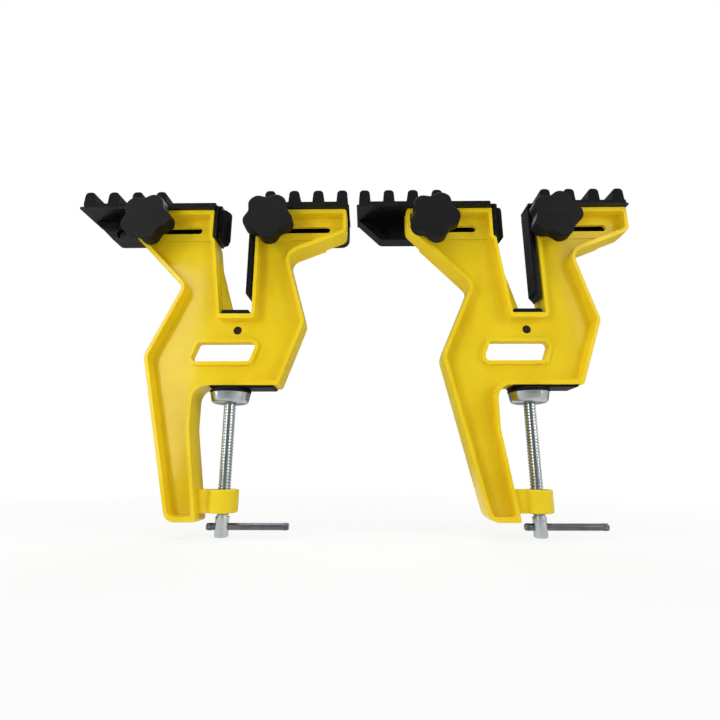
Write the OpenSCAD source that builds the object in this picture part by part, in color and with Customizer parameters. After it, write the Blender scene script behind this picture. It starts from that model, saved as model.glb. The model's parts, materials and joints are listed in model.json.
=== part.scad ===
// Pair of ski vises: bench clamps that hold a ski while its edges are tuned.
// X runs along the bench edge, Y from front to back, Z up.
// The origin is on the left vise's spindle axis, at the height of its bench seat.

/* [Pair] */
// Gap between the left vise's long jaw and the right vise's short jaw
pair_gap = 7; // [5:0.5:40]

/* [Frame] */
// Front to back depth of the casting
frame_depth = 24; // [22:0.5:28]
// Width of the rim that stands round the web
rim_w = 4.2; // [3:0.1:5]
// Thickness of the web
web_t = 3.2; // [2.5:0.1:4]
// Thickness of the plates that hold the slots
plate_t = 4.8; // [4:0.1:6]
// Height of the arms' top above the seat
arm_top = 166; // [160:1:175]
// Outer end of the left arm
arm_left = -103; // [-106:0.5:-100]
// Outer end of the right arm
arm_right = 101; // [99:0.5:104]
// Lowest edge of the leg
leg_bottom = -110.5; // [-111:0.5:-108]
// Radius of the corner between seat and leg
seat_corner_r = 12; // [9:0.5:12]
// Smallest corner radius of the pockets between rim and web
pocket_r = 2.2; // [1:0.1:3]
// Depth of the track that is milled off the arms' back for the jaws' skirts
track_depth = 3.4; // [1:0.1:5]
// Lower shoulder of the track above the seat
track_z = 134.4; // [130:0.2:138]

/* [Ski slot] */
// Height of the slot's floor above the seat
gap_floor = 64; // [60:0.5:68]
// Left wall at the floor
gap_left = -10.5; // [-12:0.5:-10]
// Left wall under the jaw's block
gap_left_top = -20; // [-21:0.5:-19]
// Right arm's end of the left arm, beside the jaw's block
arm_end = -22.5; // [-23:0.5:-22]
// Right wall
gap_right = 16; // [15.5:0.5:18]
// Thickness of the pad on the floor
gap_pad_t = 4; // [3:0.5:5]

/* [Window] */
// Width of the window
window_w = 52.6; // [45:0.2:56]
// Height of the window
window_h = 17.2; // [14:0.2:20]
// Sideways lean of the window from bottom to top
window_lean = 6.4; // [0:0.2:8]
// Width of the raised ring round the window
window_ring = 3.4; // [2.5:0.1:4]
// Front to back depth of the ring
window_ring_t = 9; // [6:0.5:12]
// Middle of the window across
window_x = -8; // [-10:0.5:-6]
// Middle of the window above the seat
window_z = 31.2; // [28:0.2:33]

/* [Plug] */
// Diameter of the plug
plug_d = 7.6; // [6:0.2:9]
// Its place across
plug_x = 2.8; // [0:0.2:5]
// Its height above the seat
plug_z = 51.5; // [50:0.5:53]

/* [Clamp] */
// Height of the bolt slots above the seat
slot_z = 150; // [149:0.5:151]
// Height of a slot's opening
slot_h = 6.4; // [6.3:0.1:7]
// Left end of the short jaw's slot
short_slot_left = -85; // [-86:0.5:-82]
// Right end of the short jaw's slot
short_slot_right = -36.7; // [-44:0.1:-32]
// Left end of the long jaw's slot
long_slot_left = 22.5; // [21.6:0.1:23]
// Right end of the long jaw's slot
long_slot_right = 84.6; // [76:0.1:88]
// Diameter of a clamp bolt
bolt_d = 6; // [5.8:0.1:6]
// Diameter of a bolt's round head
bolt_head_d = 13; // [11:0.5:14]
// Thickness of a bolt's round head
bolt_head_t = 3.4; // [2.5:0.1:4]
// Outer diameter of a washer
washer_d = 12; // [11:0.5:12]
// Thickness of a washer
washer_t = 1.2; // [1:0.1:1.6]
// Bolt of the short jaw
short_bolt_x = -78.5; // [-78.5:0.5:-76]
// Bolt of the long jaw
long_bolt_x = 30.5; // [29.5:0.5:33]

/* [Knob] */
// Diameter over the lobes
knob_d = 45; // [40:0.5:46]
// Diameter at the bottom of the hollows between lobes
knob_valley_d = 36; // [34:0.5:38]
// Turn of the short jaws' knobs
short_knob_turn = 8; // [0:1:71]
// Turn of the left vise's long jaw knob
left_long_knob_turn = 15; // [0:1:71]
// Turn of the right vise's long jaw knob
right_long_knob_turn = 0; // [0:1:71]
// Number of lobes
knob_lobes = 5; // [5:1:6]
// Thickness of the lobed head
knob_head_t = 12.4; // [10:0.2:13]
// Distance from the casting's front to the knob's face
knob_reach = 17.6; // [17:0.2:19]
// Diameter of the hub behind the head
knob_hub_d = 11.8; // [11.6:0.1:12]
// Diameter of the brass insert
insert_d = 8.6; // [8:0.2:9]
// Length of the brass insert
insert_l = 14; // [10:0.5:16]

/* [Jaws] */
// How far a jaw's front edge stands before the casting
jaw_lip = 3; // [2:0.5:4]
// Thickness of a jaw's top plate
jaw_plate_t = 2.2; // [2:0.1:3]
// Thickness of a jaw's rear skirt
skirt_t = 13.5; // [10:0.5:14]
// Lower edge of the short jaw's skirt above the seat
short_skirt_z = 145.5; // [143:0.5:146]
// Lower edge of the long jaw's skirt above the seat
long_skirt_z = 144; // [143:0.5:146]
// Outer end of the short jaw
short_tip = -148.3; // [-152:0.1:-146]
// Outer end of the long jaw
long_tip = 102.7; // [102:0.1:104]
// How far the right vise's long jaw has been slid to the left
right_long_slid = 1.5; // [0:0.1:3]
// Left end of the long jaw's skirt and teeth
long_skirt_x = 20; // [18:0.5:21]
// Thickness of the plate that hangs at the short jaw's end
hanger_t = 2.4; // [2:0.1:3]
// How far that plate stands above the jaw's top plate
hanger_rise = 2; // [1:0.1:3]
// Thickness of the block on the hanging plate
block_t = 2.5; // [2:0.1:3]
// How far the block stands above the jaw's top plate
block_rise = 3.6; // [2:0.1:5]
// Front of the block before the middle of the casting
block_front = -8.5; // [-10:0.5:-8]
// Back of the block behind the middle of the casting
block_back = 9; // [8.5:0.5:10]
// Room from the middle of the short jaw's last tooth to the smooth rail beside it
rail_room = 7.6; // [7:0.1:12]
// Right end of the smooth rail
rail_right = -22.9; // [-25:0.1:-22.5]
// Front of the smooth rail before the middle of the casting
rail_front = -9; // [-12:0.5:-6]
// Height of the smooth rail
rail_h = 6.9; // [4:0.1:8]
// Length of the short jaw's slanted tip
tip_slope = 22.5; // [18:0.5:30]
// Lower end of the end block above the seat
block_bottom = 138.8; // [138.8:0.1:145]
// Diameter of the round recess in the short jaw's skirt
dimple_d = 9.6; // [6:0.2:12]
// Its place across
dimple_x = -120; // [-121:0.5:-110]
// Its height above the seat
dimple_z = 153.8; // [153:0.2:158]
// Face of the long plate that meets the ski
long_face_x = 10.7; // [10.5:0.1:11.5]
// Front to back width of the long plate
long_plate_w = 17; // [15:0.5:18]
// Lower end of the long plate above the seat
long_plate_bottom = 77; // [72:0.5:80]

/* [Rubber] */
// Thickness of the toothed strip's base
strip_t = 4; // [3:0.1:5]
// Height of a tooth above the strip
tooth_h = 11.6; // [9:0.2:13]
// Radius of a tooth's top edges
tooth_r = 3.6; // [1:0.2:4]
// Width of a tooth at its root
tooth_root = 11; // [9:0.2:12]
// Width of a tooth at its top
tooth_top = 9; // [7:0.2:10]
// Number of teeth on a strip
teeth = 4; // [3:1:4]
// Distance between teeth
tooth_pitch = 22.4; // [20:0.1:22.8]
// First tooth of the short jaw
short_first_tooth = -140.8; // [-141.2:0.2:-139]
// First tooth of the left vise's long jaw
left_long_first_tooth = 29; // [26.5:0.5:29]
// First tooth of the right vise's long jaw, before the jaw is slid
right_long_first_tooth = 27.8; // [26.4:0.2:29]
// Height of the arched face on the short jaw's block
arch_h = 30; // [20:0.5:30]
// How far the arched face stands out from the block
arch_reach = 6.4; // [4:0.1:7]
// Height of the bevel under the arched face
arch_bevel = 3.7; // [2:0.1:5]
// Thickness of the bench pad
bench_pad_t = 2; // [1.5:0.1:2]
// Left end of the bench pad
bench_pad_left = -15.5; // [-16:0.5:-12]
// Right end of the bench pad
bench_pad_right = 39; // [30:0.5:40]
// Thickness of the long plate's face
face_t = 1.7; // [1.5:0.1:2]

/* [Spindle] */
// Outer diameter of the screw
spindle_d = 10; // [9.8:0.1:10]
// Diameter of the plain tail boss
tail_d = 11.4; // [11:0.1:12]
// Lowest end of the tail boss
tail_bottom = -123; // [-126:0.5:-122]
// Diameter of the lug
lug_d = 24; // [20:0.5:24]
// Upper face of the lug
lug_top = -85.5; // [-88:0.5:-84]
// Lower face of the lug
lug_bottom = -104; // [-106:0.5:-102]
// Thickness of the neck between lug and leg
neck_t = 12; // [8:0.5:14]
// Diameter of the swivel foot
foot_d = 34; // [30:0.5:36]
// Thickness of the foot's rubber above the cup's rim
foot_cap_t = 2.8; // [2:0.1:4]
// Depth of the spigot under the rubber
foot_spigot_t = 1.8; // [1:0.1:2.5]
// Depth of the well for the screw's end
foot_well_h = 5; // [4:0.1:6]
// Thickness of the foot's floor
foot_floor_t = 5; // [4:0.1:6]
// Diameter of the tommy bar
bar_d = 5.4; // [5:0.1:5.6]
// Diameter of the bar's upset ends
bar_end_d = 6.8; // [6:0.1:7]
// Length of the bar
bar_l = 67; // [60:0.5:75]
// Height of the bar's axis
bar_z = -114.8; // [-115.5:0.1:-114.5]
// How far the bar is pulled out to the left of the axis
bar_left = 12.4; // [12:0.2:14]

/* [Fits] */
// Radial clearance of the screw in the lug
screw_fit = 0.04; // [0.02:0.01:0.1]
// Radial clearance of the bar in the tail boss
bar_fit = 0.05; // [0.02:0.01:0.1]
// Radial clearance of a knob's insert on its bolt
knob_fit = 0.03; // [0.02:0.01:0.1]
// Gap between a jaw and the casting
slide_gap = 0.4; // [0.3:0.05:0.5]
// Gap between pieces that only come close
rest_gap = 0.35; // [0.3:0.05:0.4]

/* [Hidden] */
PIECES = ["frame", "bench_pad", "gap_pad", "web_plug",
    "short_jaw", "short_jaw_grip", "short_jaw_face", "short_jaw_bolt",
    "short_jaw_knob", "short_jaw_insert", "short_jaw_washer",
    "long_jaw", "long_jaw_grip", "long_jaw_face", "long_jaw_bolt",
    "long_jaw_knob", "long_jaw_insert", "long_jaw_washer",
    "spindle", "foot_cup", "foot_pad", "foot_ring", "tommy_bar"];
$fn = 48;

half_depth = frame_depth / 2;
front = -half_depth;
jaw_bottom = arm_top + slide_gap;
plate_top = jaw_bottom + jaw_plate_t;
jaw_front = front - jaw_lip;
pair_spacing = long_tip - short_tip + pair_gap;
track_back = half_depth - track_depth;
skirt_front = track_back + slide_gap;
jaw_back = skirt_front + skirt_t;
strip_front = jaw_front + 1;
strip_back = jaw_back - 1;
rail_left = short_first_tooth + (teeth - 1) * tooth_pitch + rail_room;
dimple_depth = 3;
knob_face = front - knob_reach;
knob_back = knob_face + knob_head_t;
knob_cover = 6;
hollow_power = 1.5;
washer_front = -plate_t / 2 - rest_gap - washer_t;
hub_back = washer_front - rest_gap;
bolt_tip = knob_face + knob_cover;
block_left = arm_end + slide_gap;
hanger_right = block_left + hanger_t;
block_right = hanger_right + block_t;
slot_plate_bottom = 139.5;
long_plate_x = long_face_x + face_t;
long_plate_back = gap_right - 0.5;
foot_top = -bench_pad_t - rest_gap;
foot_rim = foot_top - foot_cap_t;
foot_seat = foot_rim - foot_spigot_t;
foot_floor = foot_seat - foot_well_h;
foot_bottom = foot_floor - foot_floor_t;
foot_bore_r = spindle_d / 2 + screw_fit;
foot_well_r = 11;
foot_spigot_r = foot_d / 2 - 1.4;
tip_top = foot_seat - rest_gap;
plug_flange = 1.6;
fin_top = 123;
fin_foot = -1;
pad_inset = 1;
ring_t = 1;
ring_z = foot_floor + rest_gap;
groove_d = spindle_d - 2;
ring_d = spindle_d + 3;
bar_right = bar_l - bar_left;
bar_end_l = 5.2;
yellow = [0.93, 0.80, 0.18];
gloss_black = [0.10, 0.10, 0.11];
rubber_grey = [0.24, 0.24, 0.26];
zinc = [0.80, 0.82, 0.84];
steel = [0.50, 0.50, 0.52];
brass = [0.76, 0.62, 0.30];
matt_black = [0.16, 0.16, 0.18];
plug_brown = [0.22, 0.18, 0.10];

// Each outline is a list of corners [x, z, radius] in clockwise order.
frame_corners = [
    [arm_left, arm_top, 3],
    [arm_end, arm_top, 1],
    [arm_end, 138.6, 0],
    [gap_left_top, 136.1, 0],
    [gap_left, gap_floor, 0],
    [gap_right, gap_floor, 0],
    [gap_right, arm_top, 1],
    [arm_right, arm_top, 3],
    [arm_right, 142.4, 7],
    [47.3, 121, 10],
    [64.8, 57, 9],
    [44, 0, 3],
    [-28.5, 0, seat_corner_r],
    [-28.5, -36, 40],
    [-17, leg_bottom, 2],
    [-43.5, leg_bottom, 10],
    [-75.3, 26, 14],
    [-47.2, 90.2, 7],
    [arm_left, 148.3, 9]];
window_corners = [
    [-(window_w - window_lean) / 2 + window_x, window_z + window_h / 2, 2.5],
    [(window_w + window_lean) / 2 + window_x, window_z + window_h / 2, 4],
    [(window_w - window_lean) / 2 + window_x, window_z - window_h / 2, 2.5],
    [-(window_w + window_lean) / 2 + window_x, window_z - window_h / 2, 4]];

function at(p) = [p[0], p[1]];
function wrap(list, i) = list[(i + len(list)) % len(list)];
function unit(v) = v / norm(v);
// Inward normal of the edge from a to b of a clockwise outline
function inward(a, b) = let(d = unit(b - a)) [d[1], -d[0]];
function turn(a, b, c) = let(u = unit(b - a), v = unit(c - b)) u[0] * v[1] - u[1] * v[0];

// Outline moved inwards by w, its radii following
function inset(corners, w) = [for (i = [0 : len(corners) - 1])
    let(a = at(wrap(corners, i - 1)), b = at(corners[i]), c = at(wrap(corners, i + 1)),
        m = inward(a, b), n = inward(b, c),
        shift = (m + n) / (1 + m * n) * w,
        grow = turn(a, b, c) > 0 ? w : -w)
    [b[0] + shift[0], b[1] + shift[1], max(corners[i][2] + grow, pocket_r)]];

// Points of the arc that rounds corner b between a and c
function arc(a, b, c, r) =
    let(u = unit(a - b), v = unit(c - b), half = acos(max(-1, min(1, u * v))) / 2,
        centre = b + unit(u + v) * r / sin(half),
        s = b + u * r / tan(half) - centre, e = b + v * r / tan(half) - centre,
        s_ang = atan2(s[1], s[0]), raw = atan2(e[1], e[0]) - s_ang,
        sweep = raw > 180 ? raw - 360 : raw < -180 ? raw + 360 : raw,
        steps = max(2, ceil(abs(sweep) / 15)))
    [for (k = [0 : steps]) centre + r * [cos(s_ang + sweep * k / steps), sin(s_ang + sweep * k / steps)]];

function rounded(corners) = [for (i = [0 : len(corners) - 1])
    let(b = corners[i])
    each b[2] < 0.05 ? [at(b)] : arc(at(wrap(corners, i - 1)), at(b), at(wrap(corners, i + 1)), b[2])];

// Extrudes an X-Z outline from y0 to y1
module slab(y0, y1) {
    translate([0, y1, 0]) rotate([90, 0, 0]) linear_extrude(y1 - y0) children();
}

// Rod along Y from y0 to y1
module rod(d, y0, y1) {
    translate([0, y1, 0]) rotate([90, 0, 0]) cylinder(d = d, h = y1 - y0);
}

// Rod along X from x0 to x1
module bar(d, x0, x1) {
    translate([x0, 0, 0]) rotate([0, 90, 0]) cylinder(d = d, h = x1 - x0);
}

module slot_cut(x0, x1) {
    translate([x0 + slot_h / 2, -plate_t, slot_z - slot_h / 2])
        cube([x1 - x0 - slot_h, 2 * plate_t, slot_h]);
    for (x = [x0 + slot_h / 2, x1 - slot_h / 2])
        translate([x, 0, slot_z]) rod(slot_h, -plate_t, plate_t);
}

// One face's recess between the rims
module recess(y0, y1) {
    slab(y0, y1) polygon(rounded(inset(frame_corners, rim_w)));
}

module lug() {
    translate([0, 0, lug_bottom]) cylinder(d = lug_d, h = lug_top - lug_bottom);
    translate([-22, -neck_t / 2, lug_bottom]) cube([22, neck_t, lug_top - lug_bottom]);
}

// Sheet of web that leans across the slot's left corner
module gap_fin() {
    slab(-web_t / 2, web_t / 2) polygon([[gap_left - 7.8, fin_top], [fin_foot, gap_floor],
        [fin_foot, gap_floor - 2], [gap_left - 2.5, gap_floor - 2], [gap_left - 10, fin_top]]);
}

module frame() {
    color(yellow) difference() {
        union() {
            difference() {
                slab(-half_depth, half_depth) polygon(rounded(frame_corners));
                recess(-half_depth - 1, -web_t / 2);
                recess(web_t / 2, half_depth + 1);
            }
            intersection() {
                slab(-plate_t / 2, plate_t / 2) polygon(rounded(inset(frame_corners, rim_w / 2)));
                translate([arm_left, -plate_t, slot_plate_bottom])
                    cube([arm_right - arm_left, 2 * plate_t, arm_top - slot_plate_bottom]);
            }
            slab(-window_ring_t / 2, window_ring_t / 2)
                polygon(rounded(inset(window_corners, -window_ring)));
            lug();
            gap_fin();
        }
        slab(-half_depth, half_depth) polygon(rounded(window_corners));
        translate([plug_x, 0, plug_z]) rod(plug_d, -half_depth, half_depth);
        translate([arm_left - 1, track_back, track_z])
            cube([arm_right - arm_left + 2, track_depth + 1, arm_top - track_z + 1]);
        slot_cut(short_slot_left, short_slot_right);
        slot_cut(long_slot_left, long_slot_right);
        translate([0, 0, lug_bottom - 1])
            cylinder(d = spindle_d + 2 * screw_fit, h = lug_top - lug_bottom + 2);
    }
}

module bench_pad() {
    color(gloss_black) slab(-half_depth + pad_inset, half_depth - pad_inset) polygon([
        [bench_pad_left, 0], [bench_pad_left, 1 - bench_pad_t],
        [bench_pad_left + 1, -bench_pad_t], [bench_pad_right - 1, -bench_pad_t],
        [bench_pad_right, 1 - bench_pad_t], [bench_pad_right, 0]]);
}

// Slit on the left, where it straddles the leaning sheet of web
module gap_pad() {
    left = gap_left + 0.6;
    right = gap_right - 1.4;
    top = gap_floor + gap_pad_t;
    color(gloss_black) difference() {
        slab(-half_depth + pad_inset, half_depth - pad_inset) polygon([
            [left, gap_floor], [right, gap_floor], [right, top - 1], [right - 1, top], [left, top]]);
        translate([left - 1, -web_t / 2, gap_floor - 1])
            cube([fin_foot + 0.4 - left + 1, web_t, gap_pad_t + 2]);
    }
}

// Flush in front, with a flange behind the web
module web_plug() {
    color(plug_brown) translate([plug_x, 0, plug_z]) {
        rod(plug_d, -web_t / 2, web_t / 2);
        rod(plug_d + plug_flange, web_t / 2, web_t / 2 + 1);
    }
}

// Shank with its round head sunk in the skirt's back
module clamp_bolt(x) {
    color(zinc) translate([x, 0, slot_z]) {
        rod(bolt_d, bolt_tip, jaw_back - bolt_head_t);
        rod(bolt_head_d, jaw_back - bolt_head_t, jaw_back);
    }
}

module bolt_bore(x) {
    translate([x, 0, slot_z]) {
        rod(bolt_d, skirt_front - 1, jaw_back);
        rod(bolt_head_d, jaw_back - bolt_head_t, jaw_back + 1);
    }
}

module washer(x) {
    color(zinc) translate([x, 0, slot_z]) difference() {
        rod(washer_d, washer_front, washer_front + washer_t);
        rod(bolt_d, washer_front - 1, washer_front + washer_t + 1);
    }
}

// Toothed strip, its teeth running the full depth of the jaw
module grip(x0, x1, first) {
    color(rubber_grey) union() {
        translate([x0, strip_front, plate_top]) cube([x1 - x0, strip_back - strip_front, strip_t]);
        for (i = [0 : teeth - 1]) translate([first + i * tooth_pitch, 0, plate_top + strip_t])
            slab(strip_front, strip_back) polygon(rounded([
                [-tooth_top / 2, tooth_h, tooth_r], [tooth_top / 2, tooth_h, tooth_r],
                [tooth_root / 2, -1, 0], [-tooth_root / 2, -1, 0]]));
    }
}

// Plate and block that hang before the slot's left wall and carry the arched face
module hanger() {
    translate([block_left, front, block_bottom])
        cube([hanger_t, frame_depth, plate_top + hanger_rise - block_bottom]);
    translate([hanger_right - 1, block_front, block_bottom])
        cube([block_t + 1, block_back - block_front, plate_top + block_rise - block_bottom]);
}

module short_jaw() {
    color(gloss_black) difference() {
        union() {
            translate([short_tip, jaw_front, jaw_bottom])
                cube([block_left + 0.5 - short_tip, jaw_back - jaw_front, jaw_plate_t]);
            slab(skirt_front, jaw_back) polygon(rounded([
                [short_tip + 2, plate_top - 1, 0], [block_left + 0.1, plate_top - 1, 0],
                [block_left + 0.1, short_skirt_z, 2], [short_tip + tip_slope, short_skirt_z, 6],
                [short_tip + 2, jaw_bottom - 0.5, 0]]));
            slab(rail_front, jaw_back - 0.5) polygon(rounded([
                [rail_left, plate_top + rail_h, 0], [rail_right, plate_top + rail_h, 1.5],
                [rail_right, plate_top - 1, 0], [rail_left, plate_top - 1, 0]]));
            hanger();
        }
        bolt_bore(short_bolt_x);
        translate([dimple_x, 0, dimple_z]) rod(dimple_d, skirt_front - 1, skirt_front + dimple_depth);
    }
}

// Arched in plan, so that it meets the ski along one line, and bevelled below
module short_jaw_face() {
    first = block_front + 0.5;
    last = block_back - 0.5;
    color(rubber_grey) translate([block_right, 0, block_bottom]) intersection() {
        linear_extrude(arch_h) polygon([
            [0, first], [arch_reach / 2, first + 0.5], [arch_reach, first + 7],
            [arch_reach, last - 4.5], [arch_reach / 2.5, last - 1], [0, last]]);
        slab(first - 1, last + 1) polygon([
            [-1, -1], [-1, arch_h + 1], [arch_reach + 1, arch_h + 1], [arch_reach + 1, arch_bevel],
            [arch_reach, arch_bevel], [arch_reach / 2, 0], [arch_reach / 2, -1]]);
    }
}

module long_jaw() {
    color(gloss_black) difference() {
        union() {
            translate([long_skirt_x, jaw_front, jaw_bottom])
                cube([long_tip - long_skirt_x, jaw_back - jaw_front, jaw_plate_t]);
            translate([long_face_x, jaw_front, jaw_bottom])
                cube([long_skirt_x - long_face_x + 1, front + long_plate_w - jaw_front, jaw_plate_t]);
            slab(skirt_front, jaw_back) polygon(rounded([
                [long_skirt_x, plate_top - 1, 0], [long_tip - 0.5, plate_top - 1, 0],
                [long_tip - 0.5, long_skirt_z, 8], [long_skirt_x, long_skirt_z, 2]]));
            slab(front, front + long_plate_w) polygon([
                [long_plate_x, plate_top - 1], [long_plate_back, plate_top - 1],
                [long_plate_back, long_plate_bottom], [long_plate_x, long_plate_bottom + 4]]);
        }
        bolt_bore(long_bolt_x);
    }
}

module long_jaw_face() {
    color(rubber_grey) slab(front, front + long_plate_w) polygon([
        [long_face_x, jaw_bottom - 1.2], [long_plate_x, jaw_bottom],
        [long_plate_x, long_plate_bottom + 4], [long_face_x, long_plate_bottom + 6]]);
}

// One smooth outline with broad lobes and narrower hollows
function lobed(lobes, outer, inner, n) = [for (i = [0 : n - 1])
    let(a = 360 * i / n, dip = pow((1 - cos(lobes * a)) / 2, hollow_power),
        r = outer / 2 - (outer - inner) / 2 * dip)
    r * [cos(a), sin(a)]];

module knob(x, phase) {
    color(matt_black) translate([x, 0, slot_z]) difference() {
        union() {
            rotate([0, phase, 0]) slab(knob_face, knob_back)
                polygon(lobed(knob_lobes, knob_d, knob_valley_d, 80));
            rod(knob_hub_d, knob_back - 1, hub_back);
        }
        rod(insert_d, hub_back - insert_l, hub_back + 1);
        rod(bolt_d + 2 * knob_fit, bolt_tip - 1, hub_back);
    }
}

module insert(x) {
    color(brass) translate([x, 0, slot_z]) difference() {
        rod(insert_d, hub_back - insert_l, hub_back);
        rod(bolt_d + 2 * knob_fit, hub_back - insert_l - 1, hub_back + 1);
    }
}

// Screw: the thread's crests give its diameter
module spindle() {
    color(zinc) difference() {
        union() {
            translate([0, 0, tail_bottom]) cylinder(d = tail_d, h = lug_bottom - 3 - tail_bottom);
            translate([0, 0, tail_bottom + 1]) cylinder(d = spindle_d, h = ring_z - tail_bottom - 1);
            translate([0, 0, ring_z - 0.5]) cylinder(d = groove_d, h = ring_t + 1);
            translate([0, 0, ring_z + ring_t]) cylinder(d = spindle_d, h = tip_top - ring_z - ring_t);
        }
        translate([0, 0, bar_z]) bar(bar_d + 2 * bar_fit, -tail_d, tail_d);
    }
}

module foot_cup() {
    color(zinc) rotate_extrude() polygon([
        [foot_bore_r, foot_bottom], [7.2, foot_bottom], [8.6, foot_bottom + 1.6],
        [14.5, foot_floor - 1.4], [foot_d / 2 - 0.5, foot_floor + 0.8], [foot_d / 2, foot_floor + 2.2],
        [foot_d / 2, foot_rim], [foot_spigot_r, foot_rim], [foot_spigot_r, foot_seat],
        [foot_well_r, foot_seat], [foot_well_r, foot_floor], [foot_bore_r, foot_floor]]);
}

// Rubber cap with a spigot that sits in the cup
module foot_pad() {
    color(gloss_black) rotate_extrude() polygon([
        [0, foot_seat], [foot_spigot_r, foot_seat], [foot_spigot_r, foot_rim],
        [foot_d / 2 + 0.4, foot_rim], [foot_d / 2 + 0.4, foot_top - 1],
        [foot_d / 2 - 0.6, foot_top], [0, foot_top]]);
}

// Keeps the screw's end in the foot
module foot_ring() {
    color(steel) translate([0, 0, ring_z]) difference() {
        cylinder(d = ring_d, h = ring_t);
        translate([0, 0, -1]) cylinder(d = groove_d, h = ring_t + 2);
    }
}

module tommy_bar() {
    color(steel) translate([0, 0, bar_z]) {
        bar(bar_d, 1 - bar_left, bar_right - 1);
        bar(bar_end_d, -bar_left, bar_end_l - bar_left);
        bar(bar_end_d, bar_right - bar_end_l, bar_right);
    }
}

module piece(name, side) {
    if (name == "frame") frame();
    if (name == "bench_pad") bench_pad();
    if (name == "gap_pad") gap_pad();
    if (name == "web_plug") web_plug();
    if (name == "short_jaw") short_jaw();
    if (name == "short_jaw_grip") grip(short_tip + 2.5, rail_left, short_first_tooth);
    if (name == "short_jaw_face") short_jaw_face();
    if (name == "short_jaw_bolt") clamp_bolt(short_bolt_x);
    if (name == "short_jaw_knob") knob(short_bolt_x, short_knob_turn);
    if (name == "short_jaw_insert") insert(short_bolt_x);
    if (name == "short_jaw_washer") washer(short_bolt_x);
    if (name == "long_jaw") long_jaw();
    if (name == "long_jaw_grip")
        grip(long_skirt_x + 0.5, long_tip - 1,
            side == "left" ? left_long_first_tooth : right_long_first_tooth);
    if (name == "long_jaw_face") long_jaw_face();
    if (name == "long_jaw_bolt") clamp_bolt(long_bolt_x);
    if (name == "long_jaw_knob")
        knob(long_bolt_x, side == "left" ? left_long_knob_turn : right_long_knob_turn);
    if (name == "long_jaw_insert") insert(long_bolt_x);
    if (name == "long_jaw_washer") washer(long_bolt_x);
    if (name == "spindle") spindle();
    if (name == "foot_cup") foot_cup();
    if (name == "foot_pad") foot_pad();
    if (name == "foot_ring") foot_ring();
    if (name == "tommy_bar") tommy_bar();
}

// Names that start with an l are the long jaw's: the right vise's stands where it has been slid
function place(name, side) = side == "left" ? 0
    : name[0] == "l" ? pair_spacing - right_long_slid : pair_spacing;

for (side = ["left", "right"]) for (name = PIECES)
    translate([place(name, side), 0, 0]) piece(name, side);
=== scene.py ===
# %% [markdown]
# # A pair of ski vises
# Two cast bench clamps hold a ski while its edges are tuned. The exact solids come from the
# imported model; this file gives every piece its real surface: fillets and draft on the castings,
# threads on the screws, moulded edges on the rubber and nylon, and a finish for each material.

# %% Load the exact model
import json
import math

import bmesh
import bpy
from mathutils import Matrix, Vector


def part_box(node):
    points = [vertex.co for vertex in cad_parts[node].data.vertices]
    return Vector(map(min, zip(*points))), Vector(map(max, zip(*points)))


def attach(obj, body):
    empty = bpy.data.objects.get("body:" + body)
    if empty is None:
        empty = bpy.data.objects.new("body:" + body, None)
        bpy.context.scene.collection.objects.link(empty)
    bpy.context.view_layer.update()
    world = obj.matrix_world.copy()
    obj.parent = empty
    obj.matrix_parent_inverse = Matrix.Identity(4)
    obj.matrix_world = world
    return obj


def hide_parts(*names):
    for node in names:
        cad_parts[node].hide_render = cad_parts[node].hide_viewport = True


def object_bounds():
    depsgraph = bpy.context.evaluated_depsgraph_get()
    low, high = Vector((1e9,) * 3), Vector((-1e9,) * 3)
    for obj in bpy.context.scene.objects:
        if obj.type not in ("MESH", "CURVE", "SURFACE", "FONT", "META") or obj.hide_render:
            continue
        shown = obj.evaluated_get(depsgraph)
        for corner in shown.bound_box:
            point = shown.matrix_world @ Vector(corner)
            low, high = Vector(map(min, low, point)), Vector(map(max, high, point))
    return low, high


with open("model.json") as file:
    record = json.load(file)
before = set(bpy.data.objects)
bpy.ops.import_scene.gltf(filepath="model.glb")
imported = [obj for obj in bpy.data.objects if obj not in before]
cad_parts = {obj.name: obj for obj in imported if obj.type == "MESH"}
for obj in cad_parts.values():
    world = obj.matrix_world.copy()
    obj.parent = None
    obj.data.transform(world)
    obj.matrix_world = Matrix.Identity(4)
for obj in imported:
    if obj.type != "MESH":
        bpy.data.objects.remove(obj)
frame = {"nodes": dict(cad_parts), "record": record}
cad_box = [list(corner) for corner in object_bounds()]
MM = 0.001
SIDES = {"left": 0.0, "right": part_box("right_spindle")[0].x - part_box("left_spindle")[0].x}
LOWEST = cad_box[0][2]
print("model box", cad_box, "vise spacing", round(SIDES["right"], 4))

# %% [markdown]
# Materials, the world and the floor are all node trees, so a few helpers come first: one makes a
# node, one feeds it a number or another node's output, and the others do the common sums.


# %% Node helpers
def node_of(tree, kind, **settings):
    node = tree.nodes.new(kind)
    for key, value in settings.items():
        setattr(node, key, value)
    return node


def link(tree, source, target):
    tree.links.new(source, target)


def feed(tree, value, socket):
    """Gives the socket a number or a colour, or links an output to it."""
    if isinstance(value, (int, float, tuple)):
        socket.default_value = value
    else:
        link(tree, value, socket)


def mapped(tree, value, low, high, to_low=0.0, to_high=1.0, curve="LINEAR"):
    node = node_of(tree, "ShaderNodeMapRange", interpolation_type=curve)
    ends = {"From Min": low, "From Max": high, "To Min": to_low, "To Max": to_high}
    for label, number in ends.items():
        node.inputs[label].default_value = number
    link(tree, value, node.inputs["Value"])
    return node.outputs["Result"]


def math_of(tree, operation, *values):
    node = node_of(tree, "ShaderNodeMath", operation=operation)
    for socket, value in zip(node.inputs, values):
        feed(tree, value, socket)
    return node.outputs[0]


def object_place(tree):
    return node_of(tree, "ShaderNodeTexCoord").outputs["Object"]


def sideways(tree, vector):
    """How far the vector points along the front to back direction, either way."""
    parts = node_of(tree, "ShaderNodeSeparateXYZ")
    link(tree, vector, parts.inputs[0])
    return math_of(tree, "ABSOLUTE", parts.outputs["Y"])


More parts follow.
